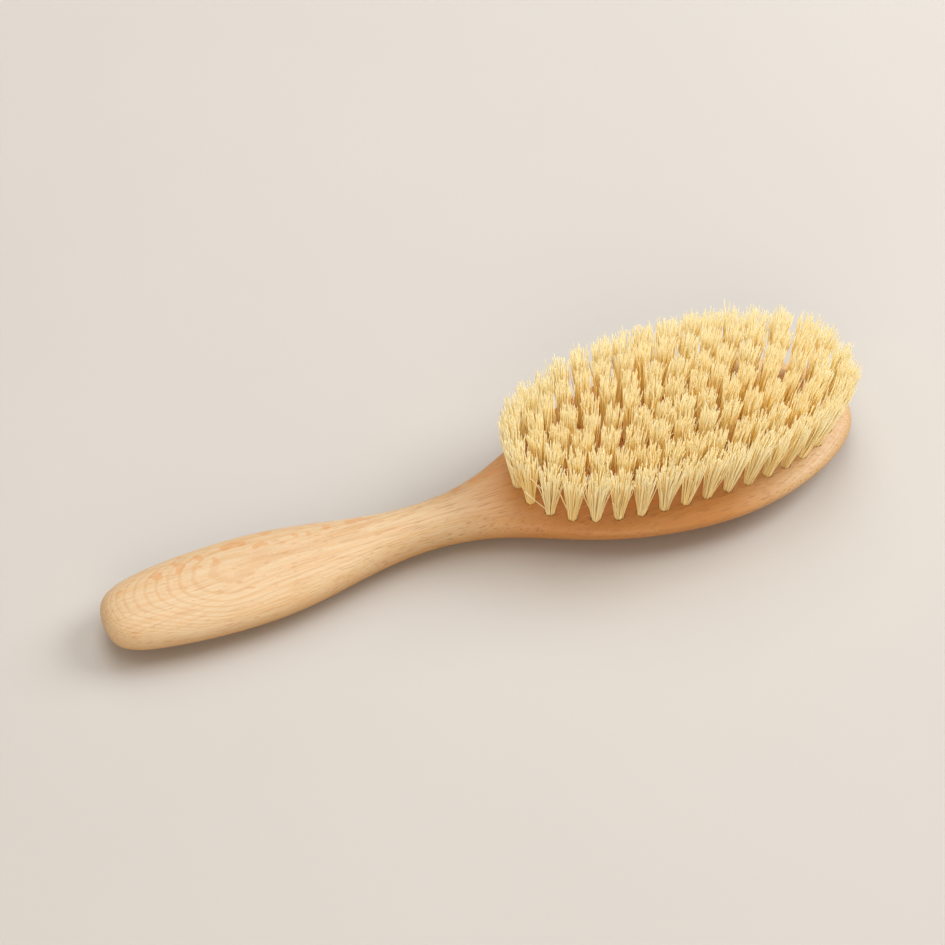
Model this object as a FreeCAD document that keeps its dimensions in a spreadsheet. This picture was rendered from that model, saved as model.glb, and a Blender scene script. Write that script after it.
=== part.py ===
import FreeCAD, Part
import math
import os
import Sketcher

# A clothes brush with a handle: a one-piece beech body and rows of fibre tufts, each tuft folded over a
# flat wire anchor in its own blind hole. It lies on its back with the bristles up.
# Millimetres. X runs from the end of the handle to the tip of the head, Y across, Z up. The brush is drawn
# with the end of its handle at X = 0 and is then moved, whole, so that it stands centred on the origin.

V = FreeCAD.Vector

DIMENSIONS = {
    # how full the body's cross-section is: 0.55 is a quarter of an ellipse, 1 a square corner
    "face_wall_fullness": 0.64,
    "face_edge_fullness": 0.64,
    "back_wall_fullness": 0.55,
    "back_edge_fullness": 0.62,
    # height at which the back of the grip and of the head is sanded flat
    "sanding_level": 0.3,
    "sanding_stock": 10.0,
    "stock_margin": 20.0,
    # the field of holes on the head, an oval a little squarer than an ellipse, which has squareness 2
    "field_centre": 177.7,
    "field_half_length": 50.2,
    "field_half_width": 23.7,
    "field_squareness": 2.25,
    "row_pitch": 6.8,
    "middle_row_tufts": 5,
    "middle_single_tufts": 2,
    "tufts_per_node": 4,
    # the holes, which fan out more and more towards the edge of the field
    "hole_radius": 1.6,
    "hole_depth": 6.2,
    "drill_cone_depth": 0.95,
    "drill_run_in": 3.0,
    "fan_centre": 158.0,
    "fan_rate_along": 0.0035,
    "fan_rate_across": 0.0066,
    # one tuft: a bundle as wide as its hole allows, spreading to the tips
    "bundle_radius": 1.5,
    "tip_radius": 3.2,
    "tuft_stand": 20.8,
    "tuft_seat": 6.0,
    # one anchor of flat wire, across the fold of the bundle
    "anchor_length": 3.1,
    "anchor_thickness": 0.4,
    "anchor_width": 1.8,
    "anchor_seat": 5.4,
    "anchor_clearance": 0.05,
}

# Rings that the body's surface is drawn to, from the handle's end to the tip of the head: the place along
# the length, the half width, and the heights of the face, of the widest line of the side and of the back.
# The surface follows them as a bent batten follows its weights, just inside each bend.
RING_FIELDS = ("along", "half_width", "face", "side", "back")
RINGS = {
    "end": (0.0, 0.0, 8.8, 8.8, 8.8),
    "end_rim": (0.0, 5.7, 12.2, 8.8, 5.4),
    "butt": (3.5, 10.9, 14.5, 9.0, 2.0),
    "heel": (17.0, 13.9, 14.7, 9.3, 1.2),
    "palm": (35.0, 15.6, 14.5, 9.0, -0.2),
    "grip": (57.0, 15.0, 14.1, 8.6, -0.2),
    "throat": (78.0, 9.2, 14.1, 8.4, 0.6),
    "neck": (99.0, 5.8, 14.5, 8.4, 1.2),
    "shoulder": (120.0, 10.4, 14.6, 9.2, 0.9),
    "cheek": (142.0, 23.8, 14.6, 10.2, 0.1),
    "head": (166.0, 31.2, 15.5, 11.4, -0.2),
    "brow": (190.0, 32.5, 15.2, 11.0, 0.2),
    "crown": (212.0, 26.1, 13.8, 9.7, 1.2),
    "nose": (229.5, 15.5, 12.0, 7.9, 2.6),
    "tip_rim": (235.0, 6.5, 10.3, 7.1, 4.3),
    "tip": (235.0, 0.0, 7.1, 7.1, 7.1),
}

# Closed rows of tufts from the edge of the field inwards, each one row pitch inside the last, and how many
# tufts each holds. Every one has a tuft on the centre line at both of its ends.
CLOSED_ROWS = {"outer": 36, "second": 30, "third": 22}

OUTLINE_STEPS = 2000

doc = FreeCAD.newDocument("clothes_brush")
sheet = doc.addObject("Spreadsheet::Sheet", "dimensions")


def fill_sheet():
    """Write every driving dimension to the sheet, one alias to a row."""
    entries = dict(DIMENSIONS)
    for ring, values in RINGS.items():
        for field, value in zip(RING_FIELDS, values):
            entries[f"{ring}_{field}"] = value
    for row, count in CLOSED_ROWS.items():
        entries[f"{row}_row_tufts"] = count
    for line, (alias, value) in enumerate(entries.items(), start=1):
        sheet.set(f"A{line}", alias)
        sheet.set(f"B{line}", str(value))
        sheet.setAlias(f"B{line}", alias)
    doc.recompute()


def size(alias):
    return float(sheet.get(alias))


def cell(formula):
    """An expression in which every {alias} is a cell of the sheet."""
    return formula.replace("{", "dimensions.").replace("}", "")


def bind(item, formulas):
    for name, formula in formulas.items():
        item.setExpression(name, cell(formula))


def origin_plane(body, role):
    return next(item for item in body.Origin.OriginFeatures if item.Role == role)


def sketch_outline(body, name, plane, corners):
    """A closed outline of straight lines, with a formula for both coordinates of each corner."""
    sketch = body.newObject("Sketcher::SketchObject", name)
    sketch.AttachmentSupport = [(origin_plane(body, plane), "")]
    sketch.MapMode = "FlatFace"
    count = len(corners)
    turns = [2 * math.pi * number / count for number in range(count)]
    guesses = [V(math.cos(turn), math.sin(turn), 0) for turn in turns]
    for number in range(count):
        sketch.addGeometry(Part.LineSegment(guesses[number], guesses[(number + 1) % count]))
    for number in range(count):
        sketch.addConstraint(Sketcher.Constraint("Coincident", number, 2, (number + 1) % count, 1))
    for number, corner in enumerate(corners):
        for kind, formula in zip(("DistanceX", "DistanceY"), corner):
            index = sketch.addConstraint(Sketcher.Constraint(kind, -1, 1, number, 1, 1.0))
            sketch.setExpression(f"Constraints[{index}]", cell(formula))
    return sketch


def revolve(name, corners):
    """A PartDesign body turned about its own Z axis from an outline in its XZ plane."""
    body = doc.addObject("PartDesign::Body", name)
    sketch = sketch_outline(body, f"{name}_outline", "XZ_Plane", corners)
    turned = body.newObject("PartDesign::Revolution", f"{name}_turned")
    turned.Profile = sketch
    turned.ReferenceAxis = (sketch, ["V_Axis"])
    turned.Angle = 360
    return body


# ---- the wooden body ----


def ring_values():
    return [[size(f"{ring}_{field}") for field in RING_FIELDS] for ring in RINGS]


def skin(wall_fullness, edge_fullness, crest_field):
    """The body's surface from one widest line to the other, over its face or under its back."""
    crest_column = RING_FIELDS.index(crest_field)
    poles = []
    for values in ring_values():
        along, half_width, _, side, _ = values
        crest = values[crest_column]
        wall = side + wall_fullness * (crest - side)
        edge = edge_fullness * half_width
        poles.append([
            V(along, -half_width, side),
            V(along, -half_width, wall),
            V(along, -edge, crest),
            V(along, edge, crest),
            V(along, half_width, wall),
            V(along, half_width, side),
        ])
    spans = len(poles) - 3
    surface = Part.BSplineSurface()
    surface.buildFromPolesMultsKnots(
        poles, [4] + [1] * (spans - 1) + [4], [4, 2, 4],
        [float(knot) for knot in range(spans + 1)], [0.0, 0.5, 1.0],
        False, False, 3, 3,
    )
    return surface


def make_blank():
    """The shaped blank: face and back meet along the widest line of the sides, with no corner there."""
    face = skin(size("face_wall_fullness"), size("face_edge_fullness"), "face")
    back = skin(size("back_wall_fullness"), size("back_edge_fullness"), "back")
    shell = Part.Shell([face.toShape(), back.toShape()])
    shell.sewShape()
    blank = doc.addObject("Part::Feature", "shaped_blank")
    blank.Shape = Part.Solid(shell)
    return face, blank


def sand_back(blank):
    """The blank with two flats on its back, level with each other, which it lies still on."""
    stock = doc.addObject("Part::Box", "sanding_stock")
    bind(stock, {
        "Length": "{tip_along} + 2 * {stock_margin}",
        "Width": "4 * {brow_half_width}",
        "Height": "{sanding_stock}",
        "Placement.Base.x": "-{stock_margin}",
        "Placement.Base.y": "-2 * {brow_half_width}",
        "Placement.Base.z": "{sanding_level} - {sanding_stock}",
    })
    sanded = doc.addObject("Part::Cut", "sanded_blank")
    sanded.Base = blank
    sanded.Tool = stock
    return sanded


# ---- where the tufts stand ----


def row_path(inset):
    """Half of a row's closed line: the field's outline moved inwards, from its tip end to its neck end."""
    long_axis = size("field_half_length")
    short_axis = size("field_half_width")
    squareness = size("field_squareness")
    path = []
    for step in range(OUTLINE_STEPS + 1):
        turn = math.pi * step / OUTLINE_STEPS
        cosine, sine = math.cos(turn), math.sin(turn)
        along = math.copysign(abs(cosine) ** (2 / squareness), cosine)
        across = sine ** (2 / squareness)
        ahead = math.copysign(abs(along) ** (squareness - 1), along) / long_axis
        aside = across ** (squareness - 1) / short_axis
        outward = math.hypot(ahead, aside)
        place = (long_axis * along - inset * ahead / outward, short_axis * across - inset * aside / outward)
        if place[1] > 0:
            path.append(place)
    return [(path[0][0], 0.0)] + path + [(path[-1][0], 0.0)]


def row_places(inset, count):
    """Evenly spaced places round one row, starting at its tip end."""
    path = row_path(inset)
    run = [0.0]
    for first, second in zip(path, path[1:]):
        run.append(run[-1] + math.dist(first, second))
    half = []
    for number in range(count // 2 + 1):
        wanted = run[-1] * number / (count // 2)
        index = min(range(len(run)), key=lambda item: abs(run[item] - wanted))
        half.append(path[index])
    far_side = half[1:-1]
    near_side = [(along, -across) for along, across in reversed(far_side)]
    return half[:1] + far_side + half[-1:] + near_side


def middle_places():
    """Two straight rows, one each side of the centre line, and single tufts on it beyond both their ends."""
    pitch = size("row_pitch")
    count = int(size("middle_row_tufts"))
    singles = [pitch * ((count + 1) / 2 + number) for number in range(int(size("middle_single_tufts")))]
    places = [(along, 0.0) for along in singles]
    for across in (pitch / 2, -pitch / 2):
        places += [(pitch * (number - (count - 1) / 2), across) for number in range(count)]
    return places + [(-along, 0.0) for along in singles]


def field_places():
    """The places of all tufts, row by row, measured from the middle of the field."""
    rows = {
        row: row_places(number * size("row_pitch"), int(size(f"{row}_row_tufts")))
        for number, row in enumerate(CLOSED_ROWS)
    }
    rows["middle"] = middle_places()
    return rows


def hole_placement(face, along, across):
    """The mouth of a hole on the face, with the placement's Z axis pointing out of the hole."""
    plumb = Part.LineSegment(V(along, across, size("head_side")), V(along, across, 2 * size("head_face")))
    point = plumb.intersectCS(face)[0][0]
    direction = V(
        (along - size("fan_centre")) * size("fan_rate_along"),
        across * size("fan_rate_across"),
        1,
    )
    return FreeCAD.Placement(V(point.X, point.Y, point.Z), FreeCAD.Rotation(V(0, 0, 1), direction))


# ---- the tools and pieces that repeat ----


def make_drill():
    return revolve("drill", [
        ("0", "-{hole_depth} - {drill_cone_depth}"),
        ("{hole_radius}", "-{hole_depth}"),
        ("{hole_radius}", "{drill_run_in}"),
        ("0", "{drill_run_in}"),
    ])


def make_tuft():
    """A bundle of fibre, folded at its foot over the slot where its anchor passes through."""
    tuft = revolve("tuft", [
        ("0", "-{tuft_seat}"),
        ("{bundle_radius}", "-{tuft_seat}"),
        ("{bundle_radius}", "0"),
        ("{tip_radius}", "{tuft_stand}"),
        ("0", "{tuft_stand}"),
    ])
    doc.recompute()
    solid_volume = tuft.Shape.Volume
    half_height = "({anchor_width} / 2 + {anchor_clearance})"
    middle = "({anchor_width} / 2 - {anchor_seat})"
    slot = sketch_outline(tuft, "tuft_slot", "XZ_Plane", [
        ("-{hole_radius}", f"{middle} - {half_height}"),
        ("{hole_radius}", f"{middle} - {half_height}"),
        ("{hole_radius}", f"{middle} + {half_height}"),
        ("-{hole_radius}", f"{middle} + {half_height}"),
    ])
    passage = tuft.newObject("PartDesign::Pocket", "tuft_anchor_passage")
    passage.Profile = slot
    passage.SideType = "Symmetric"
    bind(passage, {"Length": "{anchor_thickness} + 2 * {anchor_clearance}"})
    doc.recompute()
    if tuft.Shape.Volume >= solid_volume:
        raise RuntimeError("the anchor's passage cuts nothing from the tuft")
    return tuft


def make_anchor():
    anchor = doc.addObject("PartDesign::Body", "anchor")
    outline = sketch_outline(anchor, "anchor_outline", "XZ_Plane", [
        ("-{anchor_length} / 2", "-{anchor_seat}"),
        ("{anchor_length} / 2", "-{anchor_seat}"),
        ("{anchor_length} / 2", "{anchor_width} - {anchor_seat}"),
        ("-{anchor_length} / 2", "{anchor_width} - {anchor_seat}"),
    ])
    strip = anchor.newObject("PartDesign::Pad", "anchor_strip")
    strip.Profile = outline
    strip.SideType = "Symmetric"
    bind(strip, {"Length": "{anchor_thickness}"})
    return anchor


def make_group(label, master, placements):
    """Copies of one piece, each a separate solid, in one node."""
    copies = [master.Shape.transformed(place.Matrix) for place in placements]
    group = doc.addObject("Part::Feature", label)
    group.Shape = Part.Compound([copy.Solids[0] for copy in copies])
    return group


def drill_holes(sanded, drill, placements):
    holes = make_group("drilled_holes", drill, placements)
    body = doc.addObject("Part::Cut", "wooden_body")
    body.Base = sanded
    body.Tool = holes
    doc.recompute()
    if body.Shape.Volume >= sanded.Shape.Volume:
        raise RuntimeError("the drill cuts nothing from the body")
    return body


def check(item):
    if "Invalid" in item.State or "Error" in item.State:
        raise RuntimeError(f"{item.Label} is {item.State}")


def centre_on_origin(parts):
    """Move the whole brush so that the middle of its base is at the origin."""
    box = FreeCAD.BoundBox()
    for item in parts:
        box.add(item.Shape.optimalBoundingBox(False))
    shift = V(-box.Center.x, 0, -size("sanding_level"))
    for item in parts:
        item.Placement = FreeCAD.Placement(shift, FreeCAD.Rotation())


def main():
    fill_sheet()
    face, blank = make_blank()
    sanded = sand_back(blank)
    drill = make_drill()
    tuft = make_tuft()
    anchor = make_anchor()
    doc.recompute()

    centre = size("field_centre")
    rows = {
        row: [hole_placement(face, centre + along, across) for along, across in places]
        for row, places in field_places().items()
    }
    every_hole = [place for places in rows.values() for place in places]
    parts = [drill_holes(sanded, drill, every_hole)]

    per_node = int(size("tufts_per_node"))
    for row, places in rows.items():
        for number, start in enumerate(range(0, len(places), per_node), start=1):
            share = places[start:start + per_node]
            parts.append(make_group(f"tufts_{row}_{number}", tuft, share))
            parts.append(make_group(f"anchors_{row}_{number}", anchor, share))

    centre_on_origin(parts)
    doc.recompute()
    for item in doc.Objects:
        check(item)
    for item in parts:
        if item.Shape.isNull() or not item.Shape.isValid():
            raise RuntimeError(f"{item.Label} has no valid shape")

    os.makedirs("parts", exist_ok=True)
    for item in parts:
        item.Shape.exportStep(f"parts/{item.Label}.step")
    wood = parts[0].Shape
    print(len(parts), "nodes,", len(every_hole), "tufts, wood", round(wood.Volume / 1000, 1), "cm3")


main()
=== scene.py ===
import math

import bpy
import numpy as np
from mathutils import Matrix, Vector


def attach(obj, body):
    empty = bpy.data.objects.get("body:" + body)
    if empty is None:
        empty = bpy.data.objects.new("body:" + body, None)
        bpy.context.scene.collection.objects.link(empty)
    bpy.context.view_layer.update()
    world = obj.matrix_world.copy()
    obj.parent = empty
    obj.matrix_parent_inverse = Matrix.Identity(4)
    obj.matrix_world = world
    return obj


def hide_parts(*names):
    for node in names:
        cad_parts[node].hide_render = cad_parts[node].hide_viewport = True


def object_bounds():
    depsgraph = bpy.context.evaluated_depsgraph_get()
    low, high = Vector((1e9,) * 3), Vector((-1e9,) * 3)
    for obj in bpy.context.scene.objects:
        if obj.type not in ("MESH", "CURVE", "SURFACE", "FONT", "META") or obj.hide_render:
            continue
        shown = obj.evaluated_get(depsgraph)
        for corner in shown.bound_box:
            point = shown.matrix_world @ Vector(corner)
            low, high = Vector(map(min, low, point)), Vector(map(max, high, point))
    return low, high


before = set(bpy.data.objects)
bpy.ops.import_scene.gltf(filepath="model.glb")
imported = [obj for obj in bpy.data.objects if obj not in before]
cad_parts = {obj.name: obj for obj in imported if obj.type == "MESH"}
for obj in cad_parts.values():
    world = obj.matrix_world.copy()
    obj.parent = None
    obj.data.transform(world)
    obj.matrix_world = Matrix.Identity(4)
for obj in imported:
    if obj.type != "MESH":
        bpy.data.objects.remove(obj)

# A clothes brush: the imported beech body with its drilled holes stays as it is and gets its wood, and every
# packed tuft is replaced by the loose fibres that it stands for. Metres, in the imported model's frame.

cad_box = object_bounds()

MM = 0.001
SEED = 5170
HANDLE_END = cad_box[0][0]

# one tuft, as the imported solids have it: the depth of its foot under the mouth of its hole
TUFT_SEAT = 6.0 * MM

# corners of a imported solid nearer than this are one, and this near to its end they belong to the end
WELD = 0.01 * MM
END_DEPTH = 0.05 * MM

# the fibres: their number in a tuft, the tubes that they are drawn as, and how uneven those are
FIBRES_PER_TUFT = 80
FIBRES_MORE_OR_LESS = 7
FIBRE_RADIUS = 0.162 * MM
FIBRE_SIDES = 5
FIBRE_RINGS = 7
THICKNESS_RANGE = (0.72, 1.22)
UNEVENNESS_RANGE = (0.93, 1.07)
FLATNESS_RANGE = (0.62, 1.0)
CUT_END_WIDTH = 0.86
HIDDEN_DEPTH = 1.6 * MM
NORMAL_LEAN = 0.30

# how a tuft opens: its radius at the mouth and at the tips, what scatters and gathers the tips, and how the
# fibres bow on their way, a few of them astray
MOUTH_SPREAD = 1.30 * MM
INNER_SPREAD = 3.50 * MM
OUTER_SPREAD = 4.35 * MM
SPREAD_RANGE = (0.80, 1.06)
OUTWARD_SHARE = 0.70
PLACE_SCATTER = 0.06
TIP_SCATTER = 0.42 * MM
TUFT_SHIFT = 0.38 * MM
CLUMPS = 6
CLUMP_PULL = 0.26
OPENING_RANGE = (0.95, 1.2)
BOW = 0.42 * MM
STRAY_SHARE = 0.06
STRAY_SPREAD = 2.1 * MM
STRAY_BOW = 2.5

# how a tuft is cut: the scatter of the cut's level and slope, and how uneven, worn and short the fibres are
CUT_LEVEL = 0.28 * MM
CUT_SLOPE = 0.06
LENGTH_SCATTER = 0.72 * MM
WORN_LENGTH = 0.60 * MM
SHORT_SHARE = 0.09
SHORT_RANGE = (0.60, 0.93)

# the fibres' tones, 0 pale and 1 golden: their spread, how tufts differ, and painted light by row, the inner
# rows golden as painted shade and the outer row paler as painted light
TONE_BETA = (1.6, 2.4)
TUFT_TONE = 0.14
INNER_SHADE_TONE = 0.16
OUTER_LIT_TONE = -0.14

# in an unrolled fibre's square of the texture: the margins of its walls, and the size and place of its ends
SIDE_MARGIN = 0.05
LEVEL_MARGIN = 0.10
END_SIZE = 0.03
END_PLACE = 0.45

# where each change in the wood begins and ends: along the brush (X), across it (Y) or down its sides (Z)
ARCS = (HANDLE_END, HANDLE_END + 40 * MM)
DEEPER_PORES = (-75 * MM, 0.0)
# from the neck to past the middle of the head: partly a redder tone of the wood, partly painted shade under
# the bristles
REDDER_AND_SHADE_FROM = (-18 * MM, 16 * MM)
REDDER_AND_SHADE_TO = (94 * MM, 58 * MM)
PATCHES_FROM = (3.5 * MM, 6.5 * MM)
PATCHES_TO = (15 * MM, 11 * MM)
# painted shade: from this height down its sides the wood is painted darker
SIDE_SHADE_DOWN = (11 * MM, 4 * MM)

# growth rings: their spacing, how far they wander, their slope across, and how they dip at the handle's end
RING_PITCH = 0.52 * MM
RING_WOBBLE = 1.6 * MM
RING_TILT = 0.05
RING_DIP = -4.0 * MM

# the colours of the wood
PALE_WOOD = (0.685, 0.530, 0.340, 1)
WARM_WOOD = (0.650, 0.468, 0.265, 1)
# painted shade, low on the sides
SHADED_SIDE_WOOD = (0.570, 0.320, 0.105, 1)
# partly the head's own redder tone, partly painted shade under the bristles
RED_AND_SHADED_WOOD = (0.530, 0.230, 0.058, 1)
STREAK = (0.640, 0.360, 0.145, 1)
LATE_WOOD = (0.550, 0.275, 0.092, 1)
GRAIN = (0.510, 0.250, 0.085, 1)
PORE = (0.310, 0.125, 0.040, 1)
RAY_FLECK = (0.520, 0.240, 0.085, 1)
RAY_PATCH = (0.630, 0.285, 0.098, 1)

# the colours of the fibres, the wire and the floor
PALE_FIBRE = (0.955, 0.845, 0.525, 1)
GOLDEN_FIBRE = (0.935, 0.715, 0.275, 1)
# painted light along each fibre: a golden glow at the root for the light deep in the brush, and paler tips
# where the light falls
FIBRE_ROOT_GLOW = (0.970, 0.745, 0.310, 1)
FIBRE_TIP_LIGHT = (0.950, 0.895, 0.670, 1)
FIBRE_STREAK = (0.880, 0.620, 0.230, 1)
DULL_WIRE = (0.50, 0.48, 0.44, 1)
BRIGHT_WIRE = (0.68, 0.66, 0.62, 1)
DARKER_FLOOR = (0.552, 0.532, 0.503, 1)
PALER_FLOOR = (0.579, 0.558, 0.528, 1)

# the camera: the way it looks, and the point of the floor in the middle of its picture
CAMERA_AZIMUTH = -21.67
CAMERA_ELEVATION = 50.26
CAMERA_DISTANCE = 0.8723
CAMERA_SENSOR = 36.0
CAMERA_LENS = 110.39
LOOK_AT = Vector((HANDLE_END + 0.1212, 0.0202, 0.0))

# the studio: for each lamp its azimuth, elevation, distance, size, power and colour; then the sky, how often
# light bounces on from a dull surface, and half the side of the floor
COOL_LIGHT = (0.985, 1.0, 1.025)
WARM_LIGHT = (1.0, 0.88, 0.76)
LAMPS = {
    "key": (92.0, 37.0, 1.6, 1.0, 14.6, COOL_LIGHT),
    "back": (162.0, 52.0, 1.6, 1.2, 6.1, COOL_LIGHT),
    "top": (180.0, 85.0, 1.6, 1.2, 6.0, COOL_LIGHT),
    "left": (-90.0, 45.0, 1.8, 2.0, 2.9, WARM_LIGHT),
    "front": (-20.0, 24.0, 1.8, 1.6, 10.6, WARM_LIGHT),
}
SKY_STRENGTH = 0.31
SKY_COLOUR = (1.0, 0.885, 0.770, 1.0)
LIGHT_BOUNCES = 12
FLOOR_HALF_SIDE = 1.6


# ---- node helpers ----


class Nodes:
    """A short way to write a material's nodes: add one with its inputs, values or links."""

    def __init__(self, material):
        material.use_nodes = True
        self.tree = material.node_tree
        self.tree.nodes.clear()

    def add(self, kind, inputs=None, **settings):
        node = self.tree.nodes.new(kind)
        for name, value in settings.items():
            setattr(node, name, value)
        for name, value in (inputs or {}).items():
            self.put(node.inputs[name], value)
        return node

    def put(self, socket, value):
        if isinstance(value, bpy.types.NodeSocket):
            self.tree.links.new(value, socket)
        else:
            socket.default_value = value

    def math(self, operation, *values):
        node = self.add("ShaderNodeMath", operation=operation)
        for socket, value in zip(node.inputs, values):
            self.put(socket, value)
        return node.outputs[0]

    def scaled(self, vector, scale, shift=(0, 0, 0)):
        node = self.add("ShaderNodeMapping", {"Vector": vector, "Scale": scale, "Location": shift})
        return node.outputs[0]

    def noise(self, vector, detail=2.0, roughness=0.5):
        node = self.add("ShaderNodeTexNoise", {
            "Vector": vector, "Scale": 1.0, "Detail": detail, "Roughness": roughness,
        })
        return node.outputs["Fac"]

    def ramp(self, value, low, high, to_low=0.0, to_high=1.0):
        node = self.add("ShaderNodeMapRange", {
            "Value": value, "From Min": low, "From Max": high, "To Min": to_low, "To Max": to_high,
        }, interpolation_type="SMOOTHSTEP")
        return node.outputs[0]

    def mix(self, factor, first, second):
        node = self.add("ShaderNodeMix", data_type="RGBA")
        self.put(node.inputs[0], factor)
        self.put(node.inputs[6], first)
        self.put(node.inputs[7], second)
        return node.outputs[2]

    def bump(self, height, strength, distance):
        node = self.add("ShaderNodeBump", {"Height": height, "Strength": strength, "Distance": distance})
        return node.outputs[0]

    def finish(self, shader):
        self.add("ShaderNodeOutputMaterial", {"Surface": shader})


# ---- materials ----


def growth_rings(n, place, along, across, up):
    """Late wood of almost level rings: lengthwise on the face, and arcs near the handle's rounded end."""
    wobble = n.noise(n.scaled(place, (9, 60, 60)), detail=3.0, roughness=0.55)
    depth = n.math("ADD", up, n.math("MULTIPLY", across, RING_TILT))
    depth = n.math("ADD", depth, n.math("MULTIPLY", wobble, RING_WOBBLE))
    depth = n.math("ADD", depth, n.ramp(along, *ARCS, RING_DIP, 0.0))
    wave = n.math("SINE", n.math("MULTIPLY", depth, 2 * math.pi / RING_PITCH))
    return n.ramp(wave, 0.2, 1.0)


def beech_material():
    """Oiled beech, its grain along X: growth rings, fine pores, short ray flecks and broad ray patches."""
    material = bpy.data.materials.new("beech")
    n = Nodes(material)
    place = n.add("ShaderNodeTexCoord").outputs["Object"]
    split = n.add("ShaderNodeSeparateXYZ", {"Vector": place})
    along, across, up = split.outputs

    late_wood = growth_rings(n, place, along, across, up)
    streaks = n.noise(n.scaled(place, (30, 600, 600)), detail=3.0, roughness=0.6)
    grain = n.noise(n.scaled(place, (90, 1700, 1700)), detail=2.0, roughness=0.6)
    pores = n.noise(n.scaled(place, (150, 2500, 2500)), detail=1.5)
    pore_lines = n.ramp(pores, 0.585, 0.68)
    pore_depth = n.ramp(along, *DEEPER_PORES, 0.14, 0.44)
    flecks = n.noise(n.scaled(place, (330, 1100, 2200), (3.1, 1.7, 0.4)), detail=1.0, roughness=0.4)
    fleck_marks = n.ramp(flecks, 0.64, 0.74)
    clouds = n.noise(n.scaled(place, (13, 38, 38)))

    # Broad reddish ray patches keep to a band along one side of the board.
    patches = n.noise(n.scaled(place, (300, 290, 120), (0.4, 2.2, 1.1)), detail=0.0)
    band = n.math("MULTIPLY", n.ramp(across, *PATCHES_FROM), n.ramp(across, *PATCHES_TO))
    ray_patches = n.math("MULTIPLY", n.ramp(patches, 0.58, 0.63), band)

    # The wood is darker low on its sides, a painted shade, and redder from the neck to past the middle of
    # the head, partly its own tone and partly painted shade of the bristles.
    side_shade = n.ramp(up, *SIDE_SHADE_DOWN, 0.0, 0.75)
    redder_and_shaded = n.math("MULTIPLY", n.ramp(along, *REDDER_AND_SHADE_FROM), n.ramp(along, *REDDER_AND_SHADE_TO))

    colour = n.mix(n.ramp(clouds, 0.3, 0.7), PALE_WOOD, WARM_WOOD)
    colour = n.mix(side_shade, colour, SHADED_SIDE_WOOD)
    colour = n.mix(n.math("MULTIPLY", redder_and_shaded, 0.90), colour, RED_AND_SHADED_WOOD)
    colour = n.mix(n.ramp(streaks, 0.38, 0.72, 0.0, 0.34), colour, STREAK)
    colour = n.mix(n.math("MULTIPLY", late_wood, 0.26), colour, LATE_WOOD)
    colour = n.mix(n.ramp(grain, 0.40, 0.75, 0.0, 0.24), colour, GRAIN)
    colour = n.mix(n.math("MULTIPLY", pore_lines, pore_depth), colour, PORE)
    colour = n.mix(n.math("MULTIPLY", fleck_marks, 0.36), colour, RAY_FLECK)
    colour = n.mix(n.math("MULTIPLY", ray_patches, 0.44), colour, RAY_PATCH)

    relief = n.math("SUBTRACT", grain, n.math("MULTIPLY", pore_lines, 0.5))
    shader = n.add("ShaderNodeBsdfPrincipled", {
        "Base Color": colour,
        "Roughness": n.ramp(grain, 0.3, 0.8, 0.42, 0.54),
        "Normal": n.bump(relief, 0.25, 0.06 * MM),
    })
    shader.inputs["Specular IOR Level"].default_value = 0.5
    n.finish(shader.outputs[0])
    return material


def fibre_material():
    """Pale plant fibre: every fibre its own tone, with painted light along it, golden towards the root for
    the light glowing deep in the brush and pale at the lit tips, and fine streaks along it.
    """
    material = bpy.data.materials.new("plant_fibre")
    n = Nodes(material)
    fibre_tone = n.add("ShaderNodeAttribute", attribute_name="fibre_tone").outputs["Fac"]
    along = n.add("ShaderNodeAttribute", attribute_name="fibre_along").outputs["Fac"]
    place = n.add("ShaderNodeTexCoord").outputs["Object"]
    streak = n.noise(n.scaled(place, (5200, 5200, 420)), roughness=0.6)

    colour = n.mix(n.ramp(fibre_tone, 0.0, 1.0), PALE_FIBRE, GOLDEN_FIBRE)
    # painted light: golden towards the root for the light deep in the brush, paler towards the lit tips
    colour = n.mix(n.ramp(along, 0.05, 0.55, 0.40, 0.0), colour, FIBRE_ROOT_GLOW)
    colour = n.mix(n.ramp(along, 0.60, 1.0, 0.0, 0.65), colour, FIBRE_TIP_LIGHT)
    colour = n.mix(n.ramp(streak, 0.45, 0.8, 0.0, 0.20), colour, FIBRE_STREAK)
    shader = n.add("ShaderNodeBsdfPrincipled", {
        "Base Color": colour,
        "Roughness": n.ramp(streak, 0.3, 0.7, 0.42, 0.56),
        "Normal": n.bump(streak, 0.3, 0.03 * MM),
    })
    shader.inputs["Specular IOR Level"].default_value = 0.40
    n.finish(shader.outputs[0])
    return material


def wire_material():
    """Drawn flat steel wire with fine lines along it."""
    material = bpy.data.materials.new("flat_wire")
    n = Nodes(material)
    place = n.add("ShaderNodeTexCoord").outputs["Object"]
    lines = n.noise(n.scaled(place, (300, 9000, 9000)))
    shader = n.add("ShaderNodeBsdfPrincipled", {
        "Base Color": n.mix(lines, DULL_WIRE, BRIGHT_WIRE),
        "Roughness": n.ramp(lines, 0.3, 0.7, 0.30, 0.48),
    })
    shader.inputs["Metallic"].default_value = 1.0
    n.finish(shader.outputs[0])
    return material


def floor_material():
    """A plain pale floor, very slightly mottled."""
    material = bpy.data.materials.new("pale_floor")
    n = Nodes(material)
    place = n.add("ShaderNodeTexCoord").outputs["Object"]
    mottle = n.noise(n.scaled(place, (9, 9, 9)), detail=3.0)
    shader = n.add("ShaderNodeBsdfPrincipled", {"Base Color": n.mix(mottle, DARKER_FLOOR, PALER_FLOOR)})
    shader.inputs["Roughness"].default_value = 0.85
    n.finish(shader.outputs[0])
    return material


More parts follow.
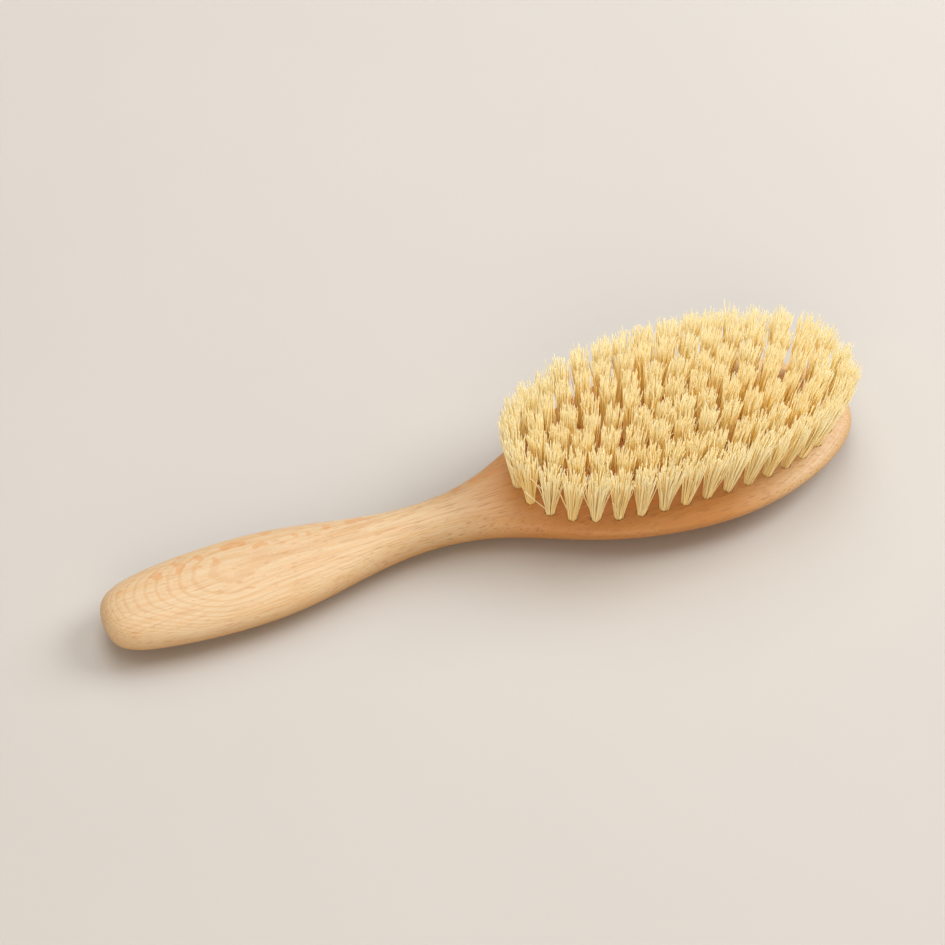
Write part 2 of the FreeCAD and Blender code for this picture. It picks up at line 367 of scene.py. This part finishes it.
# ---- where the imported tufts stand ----


def solid_numbers(points, edges):
    """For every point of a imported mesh, the number of the solid that it is on."""
    # Points at one place belong together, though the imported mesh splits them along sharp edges.
    _, place = np.unique(np.round(points / WELD).astype(int), axis=0, return_inverse=True)
    place = place.reshape(-1)
    group = np.arange(place.max() + 1)
    links = place[edges]
    while True:
        low = np.minimum(group[links[:, 0]], group[links[:, 1]])
        before = group.copy()
        np.minimum.at(group, links[:, 0], low)
        np.minimum.at(group, links[:, 1], low)
        if (group == before).all():
            return group[place]


def tufts_of(node_name):
    """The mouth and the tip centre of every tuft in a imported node, from its separate solids."""
    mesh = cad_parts[node_name].data
    points = np.zeros(len(mesh.vertices) * 3)
    mesh.vertices.foreach_get("co", points)
    points = points.reshape(-1, 3)
    edges = np.zeros(len(mesh.edges) * 2, int)
    mesh.edges.foreach_get("vertices", edges)
    owner = solid_numbers(points, edges.reshape(-1, 2))

    tufts = []
    for number in sorted(set(owner)):
        solid = np.unique(np.round(points[owner == number], 7), axis=0)
        middle = solid.mean(0)
        axis = np.linalg.svd(solid - middle)[2][0]
        axis = axis if axis[2] > 0 else -axis
        reach = (solid - middle) @ axis
        foot = solid[reach < reach.min() + END_DEPTH].mean(0)
        tip = solid[reach > reach.max() - END_DEPTH].mean(0)
        axis = (tip - foot) / np.linalg.norm(tip - foot)
        tufts.append((foot + axis * TUFT_SEAT, tip))
    return tufts


# ---- the centre lines of the fibres ----


def side_axes(axis):
    """Two directions square to an axis and to each other."""
    first = np.cross(axis, (0.0, 1.0, 0.0))
    first /= np.linalg.norm(first)
    return first, np.cross(axis, first)


def disc_places(count, rng):
    """Places spread evenly over a disc of radius 1, each moved a little."""
    number = np.arange(count) + 0.5
    radius = np.sqrt(number / count)
    turn = number * math.pi * (3 - math.sqrt(5)) + rng.uniform(0, 2 * math.pi)
    places = np.stack([radius * np.cos(turn), radius * np.sin(turn)], 1)
    return places + rng.normal(0, PLACE_SCATTER, places.shape)


def opened_tips(roots, tip_spread, outward, rng):
    """Where the fibres end across their tuft, and which of them stray."""
    count = len(roots)
    spread = tip_spread * rng.uniform(*SPREAD_RANGE)
    tips = roots * spread + rng.normal(0, TIP_SCATTER, roots.shape)
    clump_centres = disc_places(CLUMPS, rng) * spread
    nearest = np.linalg.norm(tips[:, None] - clump_centres, axis=2).argmin(1)
    tips = tips + (clump_centres[nearest] - tips) * CLUMP_PULL * rng.random((count, 1))
    tips = tips + rng.normal(0, TUFT_SHIFT, 2)

    # A tuft opens less away from the middle of the brush than along its row.
    reach_out = np.clip(tips @ outward, 0, None)
    tips = tips - (1 - OUTWARD_SHARE) * reach_out[:, None] * outward

    strays = rng.random(count) < STRAY_SHARE
    tips = tips + strays[:, None] * rng.normal(0, STRAY_SPREAD, roots.shape)
    return tips, strays


def cut_lengths(length, tips, rng):
    """How far the fibres reach from the mouth, for a tuft cut a little sloped and worn unevenly."""
    count = len(tips)
    level = rng.normal(0, CUT_LEVEL)
    slope = rng.normal(0, CUT_SLOPE, 2)
    reach = length + level + tips @ slope + rng.normal(0, LENGTH_SCATTER, count)
    reach = reach - np.abs(rng.normal(0, WORN_LENGTH, count))
    short = rng.random(count) < SHORT_SHARE
    return np.where(short, reach * rng.uniform(*SHORT_RANGE, count), reach)


def fibre_lines(mouth, tip, tip_spread, middle, rng):
    """The centre lines of one tuft's fibres, as an array of fibres by rings by coordinates."""
    count = FIBRES_PER_TUFT + int(rng.integers(-FIBRES_MORE_OR_LESS, FIBRES_MORE_OR_LESS + 1))
    axis = tip - mouth
    length = np.linalg.norm(axis)
    axis = axis / length
    first, second = side_axes(axis)
    outward = np.array([(mouth - middle) @ first, (mouth - middle) @ second])
    outward /= np.linalg.norm(outward)

    roots = disc_places(count, rng)
    tips, strays = opened_tips(roots, tip_spread, outward, rng)
    reach = cut_lengths(length, tips, rng)
    roots = roots * MOUTH_SPREAD

    # A fibre starts straight, inside its hole, and fans out and bows from the mouth on.
    share = np.linspace(0, 1, FIBRE_RINGS)
    opening = rng.uniform(*OPENING_RANGE, count)
    bow = rng.normal(0, BOW, (count, 2)) * np.where(strays, STRAY_BOW, 1.0)[:, None]
    travelled = -HIDDEN_DEPTH + share[None] * (reach + HIDDEN_DEPTH)[:, None]
    outside = np.clip(travelled / reach[:, None], 0, 1)
    fanned = outside ** opening[:, None]
    offset = roots[:, None] + (tips - roots)[:, None] * fanned[..., None]
    offset = offset + bow[:, None] * np.sin(np.pi * outside)[..., None] * outside[..., None]
    return (
        mouth + travelled[..., None] * axis
        + offset[..., :1] * first + offset[..., 1:] * second
    )


# ---- the mesh of the fibres ----


SIDE_TURNS = np.arange(FIBRE_SIDES) * 2 * math.pi / FIBRE_SIDES


def fibre_rings(lines, along, rng):
    """The rings of points round every centre line, and the outward direction at each of them."""
    count = len(lines)
    first = np.cross(along, (0.0, 1.0, 0.0))
    first /= np.linalg.norm(first, axis=1)[:, None]
    second = np.cross(along, first)
    thickness = rng.uniform(*THICKNESS_RANGE, (count, 1))
    radius = FIBRE_RADIUS * thickness * rng.uniform(*UNEVENNESS_RANGE, lines.shape[:2])
    radius[:, -1] *= CUT_END_WIDTH
    flat = rng.uniform(*FLATNESS_RANGE, (count, 1, 1, 1))
    spin = rng.uniform(0, 2 * math.pi, (count, 1)) + SIDE_TURNS
    circle = (
        np.cos(spin)[:, None, :, None] * first[:, None, None]
        + np.sin(spin)[:, None, :, None] * second[:, None, None] * flat
    )
    points = lines[:, :, None] + circle * radius[:, :, None, None]
    outward = circle / np.linalg.norm(circle, axis=3)[..., None] + np.zeros_like(points)
    return points, outward


def fibre_faces(count):
    """The faces of the closed tubes: for each fibre its walls, level by level, then its foot and its tip."""
    ring = np.arange(FIBRE_SIDES)
    after = (ring + 1) % FIBRE_SIDES
    walls = []
    for level in range(FIBRE_RINGS - 1):
        low, high = level * FIBRE_SIDES, (level + 1) * FIBRE_SIDES
        walls.append(np.stack([low + ring, low + after, high + after, high + ring], 1))
    walls = np.concatenate(walls)
    foot = ring[::-1]
    tip = (FIBRE_RINGS - 1) * FIBRE_SIDES + ring
    faces = []
    for fibre in range(count):
        start = fibre * FIBRE_RINGS * FIBRE_SIDES
        faces += (walls + start).tolist()
        faces.append((foot + start).tolist())
        faces.append((tip + start).tolist())
    return faces


def fibre_map(count):
    """Texture places for all face corners: every fibre unrolled in a square, its ends below and above."""
    side = np.arange(FIBRE_SIDES)[None, :] + np.zeros((FIBRE_RINGS - 1, 1))
    level = np.arange(FIBRE_RINGS - 1)[:, None] + np.zeros((1, FIBRE_SIDES))
    across = np.stack([side, side + 1, side + 1, side], 2) / FIBRE_SIDES
    upward = np.stack([level, level, level + 1, level + 1], 2) / (FIBRE_RINGS - 1)
    across = across * (1 - 2 * SIDE_MARGIN) + SIDE_MARGIN
    upward = upward * (1 - 2 * LEVEL_MARGIN) + LEVEL_MARGIN
    walls = np.stack([across, upward], 3).reshape(-1, 2)
    end = np.stack([np.cos(SIDE_TURNS), np.sin(SIDE_TURNS)], 1) * END_SIZE + 0.5
    corners = np.concatenate([walls, end[::-1] - (0.0, END_PLACE), end + (0.0, END_PLACE)])
    squares = math.ceil(math.sqrt(count))
    number = np.arange(count)
    origin = np.stack([number % squares, number // squares], 1)
    return (corners[None] + origin[:, None]) / squares


def fibre_mesh(name, lines, tones, rng):
    """Closed tubes round the centre lines, each a little uneven in thickness, with a cut end."""
    count = len(lines)
    along = lines[:, -1] - lines[:, 0]
    along /= np.linalg.norm(along, axis=1)[:, None]
    points, outward = fibre_rings(lines, along, rng)
    faces = fibre_faces(count)

    mesh = bpy.data.meshes.new(name)
    mesh.from_pydata(points.reshape(-1, 3).tolist(), [], faces)
    mesh.uv_layers.new(name="OFBake").data.foreach_set("uv", fibre_map(count).ravel())
    tone = np.repeat(tones, FIBRE_RINGS * FIBRE_SIDES)
    share = np.tile(np.repeat(np.linspace(0, 1, FIBRE_RINGS), FIBRE_SIDES), count)
    for label, values in (("fibre_tone", tone), ("fibre_along", share)):
        layer = mesh.attributes.new(label, "FLOAT", "POINT")
        layer.data.foreach_set("value", values.astype(np.float32))
    mesh.polygons.foreach_set("use_smooth", [True] * len(faces))
    mesh.update()

    # Light goes through a fibre, so its shading follows its length as well as its round side.
    normals = outward * (1 - NORMAL_LEAN) + along[:, None, None] * NORMAL_LEAN
    normals /= np.linalg.norm(normals, axis=3)[..., None]
    mesh.normals_split_custom_set_from_vertices(normals.reshape(-1, 3).tolist())
    return mesh


def make_fibres(node_name, tufts, middle, material, seed):
    """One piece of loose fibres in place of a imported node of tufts."""
    rng = np.random.default_rng(seed)
    # the row's tone is painted light: golden painted shade for the inner rows, paler painted light for the
    # outer row
    spread, tone = (OUTER_SPREAD, OUTER_LIT_TONE) if "outer" in node_name else (INNER_SPREAD, INNER_SHADE_TONE)
    bunches = [fibre_lines(mouth, tip, spread, middle, rng) for mouth, tip in tufts]
    tones = [tone + rng.beta(*TONE_BETA, len(bunch)) + rng.normal(0, TUFT_TONE) for bunch in bunches]
    tones = np.clip(np.concatenate(tones), 0, 1)
    name = node_name.replace("tufts", "fibres")
    piece = bpy.data.objects.new(name, fibre_mesh(name, np.concatenate(bunches), tones, rng))
    bpy.context.scene.collection.objects.link(piece)
    piece.data.materials.append(material)
    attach(piece, "root")
    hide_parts(node_name)


# ---- the set ----


def give_material(node, material):
    node.data.materials.clear()
    node.data.materials.append(material)


def make_floor(material):
    side = FLOOR_HALF_SIDE
    mesh = bpy.data.meshes.new("floor")
    corners = [(-side, -side, 0), (side, -side, 0), (side, side, 0), (-side, side, 0)]
    mesh.from_pydata(corners, [], [(0, 1, 2, 3)])
    floor = bpy.data.objects.new("floor", mesh)
    bpy.context.scene.collection.objects.link(floor)
    floor.data.materials.append(material)


def aim(item, place, target):
    item.location = place
    item.rotation_euler = (target - place).to_track_quat("-Z", "Y").to_euler()


def direction(azimuth, elevation):
    """The way from the object to something at that azimuth and elevation, azimuth 0 being in front."""
    turn, rise = math.radians(azimuth), math.radians(elevation)
    return Vector((math.sin(turn) * math.cos(rise), -math.cos(turn) * math.cos(rise), math.sin(rise)))


def make_camera():
    data = bpy.data.cameras.new("camera")
    data.sensor_width = CAMERA_SENSOR
    data.lens = CAMERA_LENS
    camera = bpy.data.objects.new("camera", data)
    bpy.context.scene.collection.objects.link(camera)
    away = direction(CAMERA_AZIMUTH, CAMERA_ELEVATION)
    aim(camera, LOOK_AT + away * CAMERA_DISTANCE, LOOK_AT)
    bpy.context.scene.camera = camera


def make_lamp(name, azimuth, elevation, distance, size, power, colour):
    data = bpy.data.lights.new(name, "AREA")
    data.shape = "DISK"
    data.size = size
    data.energy = power
    data.color = colour
    lamp = bpy.data.objects.new(name, data)
    bpy.context.scene.collection.objects.link(lamp)
    aim(lamp, LOOK_AT + direction(azimuth, elevation) * distance, LOOK_AT)


def make_sky(strength, colour):
    world = bpy.data.worlds.new("studio")
    world.use_nodes = True
    background = world.node_tree.nodes["Background"]
    background.inputs["Color"].default_value = colour
    background.inputs["Strength"].default_value = strength
    bpy.context.scene.world = world


def dress_brush():
    """Wood on the body, wire on the anchors, and fibres in place of the tufts."""
    wood = beech_material()
    fibre = fibre_material()
    wire = wire_material()
    for name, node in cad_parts.items():
        if name.startswith("anchors"):
            give_material(node, wire)
    give_material(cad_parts["wooden_body"], wood)
    tufts = {name: tufts_of(name) for name in sorted(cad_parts) if name.startswith("tufts")}
    middle = np.mean([mouth for group in tufts.values() for mouth, tip in group], axis=0)
    for number, (name, group) in enumerate(tufts.items()):
        make_fibres(name, group, middle, fibre, SEED + number)


def make_studio():
    """The floor, the camera, the lamps and the sky, and light that bounces far in between the fibres."""
    make_floor(floor_material())
    make_camera()
    for name, settings in LAMPS.items():
        make_lamp(name, *settings)
    make_sky(SKY_STRENGTH, SKY_COLOUR)
    scene = bpy.context.scene
    scene.view_settings.view_transform = "Standard"
    scene.view_settings.look = "Medium High Contrast"
    scene.cycles.diffuse_bounces = LIGHT_BOUNCES


dress_brush()
make_studio()
